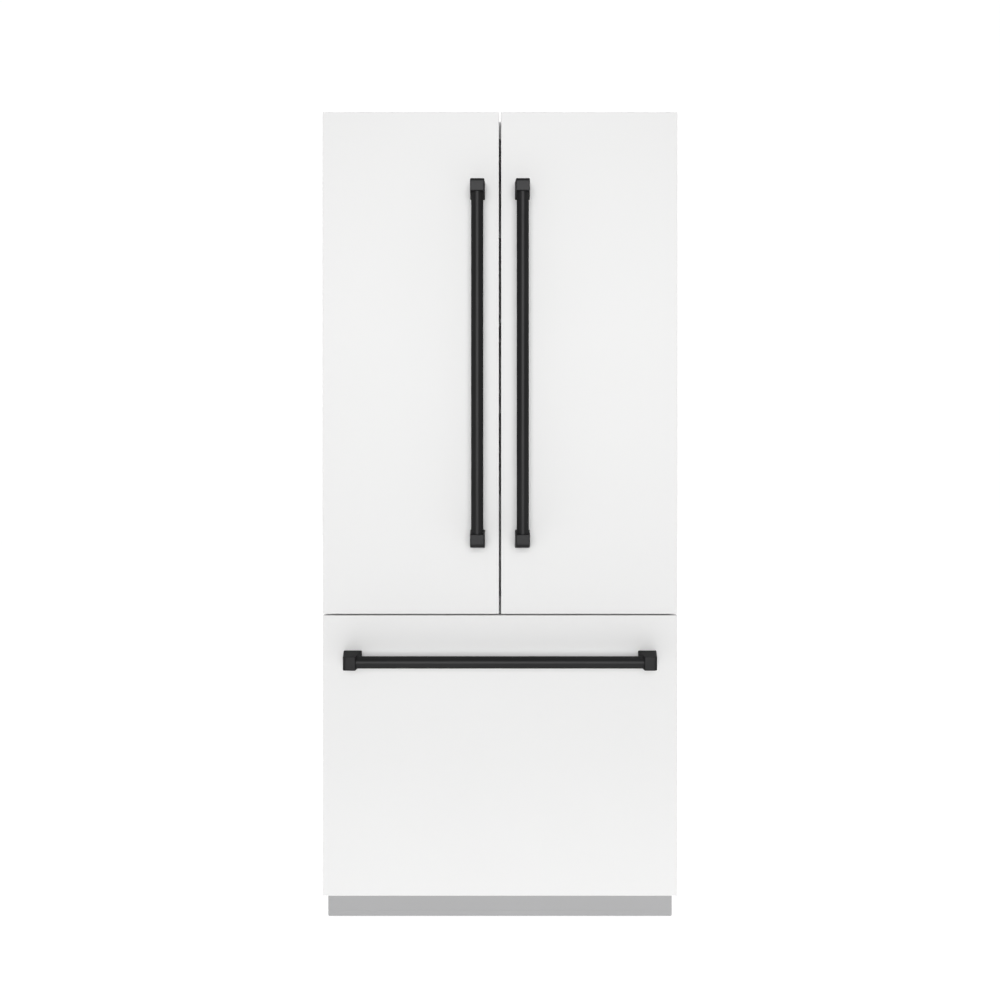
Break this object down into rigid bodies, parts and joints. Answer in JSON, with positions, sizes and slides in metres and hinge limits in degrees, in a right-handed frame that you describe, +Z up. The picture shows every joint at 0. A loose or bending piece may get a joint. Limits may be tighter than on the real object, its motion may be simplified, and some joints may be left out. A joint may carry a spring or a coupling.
{
  "type": "french door refrigerator",
  "caption": "Tall french door refrigerator with flat panels, tubular handles on square posts, a bottom freezer drawer and a recessed kick plate.",
  "frame": {"origin": "bottom centre of the overall box, on the floor", "axes": "+X to the right as seen from the front, +Y to the wall, +Z up"},
  "size_m": [0.908, 0.686, 2.095],
  "materials": {
    "panel_paint": "satin",
    "handle_black": "satin",
    "kick_grey": "satin",
    "case_paint": "satin",
    "core_graphite": "satin",
    "galvanised": "satin",
    "bracket_steel": "satin",
    "foam": "matte",
    "liner_white": "satin",
    "seal_rubber": "matte",
    "clear_plastic": "gloss",
    "shelf_glass": "gloss",
    "fin_aluminium": "satin",
    "compressor_black": "gloss",
    "dark_plastic": "matte",
    "copper_tube": "satin",
    "light_lens": "gloss"
  },
  "bodies": {
    "cabinet": {"air_duct": "liner_white", "anti_tip_brackets": "galvanised", "base_pan": "galvanised", "cabinet_foam": "foam", "case_screws": "bracket_steel", "ceiling_light": "light_lens", "compressor": "compressor_black", "compressor_grommets": "seal_rubber", "condenser_coil": "fin_aluminium", "condenser_fan_frame": "dark_plastic", "control_box": "dark_plastic", "cord_gland": "seal_rubber", "crisper_cover": "liner_white", "drip_tray": "dark_plastic", "evaporator": "fin_aluminium", "evaporator_cover": "liner_white", "face_frame": "case_paint", "freezer_liner": "liner_white", "freezer_rails": "bracket_steel", "fridge_liner": "liner_white", "glass_shelves": "shelf_glass", "hinge_brackets": "bracket_steel", "kick_plate": "kick_grey", "outer_case": "case_paint", "rear_access_cover": "galvanised", "rear_panel": "galvanised", "refrigerant_lines": "copper_tube", "shelf_frames": "liner_white", "shelf_tracks": "bracket_steel"},
    "left_door": {"left_door_panel": "panel_paint", "left_door_core": "core_graphite", "left_door_liner": "liner_white", "left_door_gasket": "seal_rubber", "left_door_bins": "clear_plastic", "left_door_handle": "handle_black", "mullion_hinges": "bracket_steel"},
    "right_door": {"right_door_panel": "panel_paint", "right_door_core": "core_graphite", "right_door_liner": "liner_white", "right_door_gasket": "seal_rubber", "right_door_bins": "clear_plastic", "right_door_handle": "handle_black"},
    "mullion": {"flip_mullion": "liner_white"},
    "freezer_drawer": {"drawer_panel": "panel_paint", "drawer_core": "core_graphite", "drawer_liner": "liner_white", "drawer_gasket": "seal_rubber", "drawer_handle": "handle_black", "lower_basket": "clear_plastic", "slide_inners": "bracket_steel"},
    "middle_slides": {"slide_middles": "bracket_steel"},
    "basket": {"upper_basket": "clear_plastic"},
    "left_crisper": {"crisper_left": "clear_plastic"},
    "right_crisper": {"crisper_right": "clear_plastic"},
    "freezer_fan": {"evaporator_fan": "dark_plastic"},
    "machine_fan": {"condenser_fan": "dark_plastic"},
    "left_roller": {"rear_roller_left": "dark_plastic"},
    "right_roller": {"rear_roller_right": "dark_plastic"},
    "left_foot": {"front_foot_left": "dark_plastic"},
    "right_foot": {"front_foot_right": "dark_plastic"}
  },
  "joints": [
    {"name": "left_door_hinge", "type": "hinge", "parent": "cabinet", "child": "left_door", "pos_m": [-0.44, -0.231, 0.81], "axis": [0, 0, -1], "range_deg": [0, 105]},
    {"name": "right_door_hinge", "type": "hinge", "parent": "cabinet", "child": "right_door", "pos_m": [0.44, -0.231, 0.81], "axis": [0, 0, 1], "range_deg": [0, 105]},
    {"name": "mullion_fold", "type": "hinge", "parent": "left_door", "child": "mullion", "pos_m": [-0.02, -0.193, 1.45], "axis": [0, 0, -1], "range_deg": [0, 90]},
    {"name": "drawer_slide", "type": "slide", "parent": "cabinet", "child": "freezer_drawer", "axis": [0, -1, 0], "range_m": [0, 0.4]},
    {"name": "middle_slide_travel", "type": "slide", "parent": "cabinet", "child": "middle_slides", "axis": [0, -1, 0], "range_m": [0, 0.2]},
    {"name": "upper_basket_travel", "type": "slide", "parent": "cabinet", "child": "basket", "axis": [0, -1, 0], "range_m": [0, 0.24]},
    {"name": "left_crisper_slide", "type": "slide", "parent": "cabinet", "child": "left_crisper", "axis": [0, -1, 0], "range_m": [0, 0.08]},
    {"name": "right_crisper_slide", "type": "slide", "parent": "cabinet", "child": "right_crisper", "axis": [0, -1, 0], "range_m": [0, 0.08]},
    {"name": "freezer_fan_spin", "type": "hinge", "parent": "cabinet", "child": "freezer_fan", "pos_m": [0, 0.251, 0.68825], "axis": [0, 1, 0], "continuous": true},
    {"name": "machine_fan_spin", "type": "hinge", "parent": "cabinet", "child": "machine_fan", "pos_m": [-0.038, 0.228, 0.188], "axis": [1, 0, 0], "continuous": true},
    {"name": "left_roller_spin", "type": "hinge", "parent": "cabinet", "child": "left_roller", "pos_m": [-0.39, 0.28, 0.025], "axis": [1, 0, 0], "continuous": true},
    {"name": "right_roller_spin", "type": "hinge", "parent": "cabinet", "child": "right_roller", "pos_m": [0.39, 0.28, 0.025], "axis": [1, 0, 0], "continuous": true},
    {"name": "left_foot_turn", "type": "hinge", "parent": "cabinet", "child": "left_foot", "pos_m": [-0.39, -0.14, 0.03], "axis": [0, 0, 1], "continuous": true},
    {"name": "right_foot_turn", "type": "hinge", "parent": "cabinet", "child": "right_foot", "pos_m": [0.39, -0.14, 0.03], "axis": [0, 0, 1], "continuous": true}
  ],
  "couplings": [
    {"joint": "middle_slide_travel", "follows": "drawer_slide", "ratio": 0.5},
    {"joint": "upper_basket_travel", "follows": "drawer_slide", "ratio": 0.6}
  ]
}
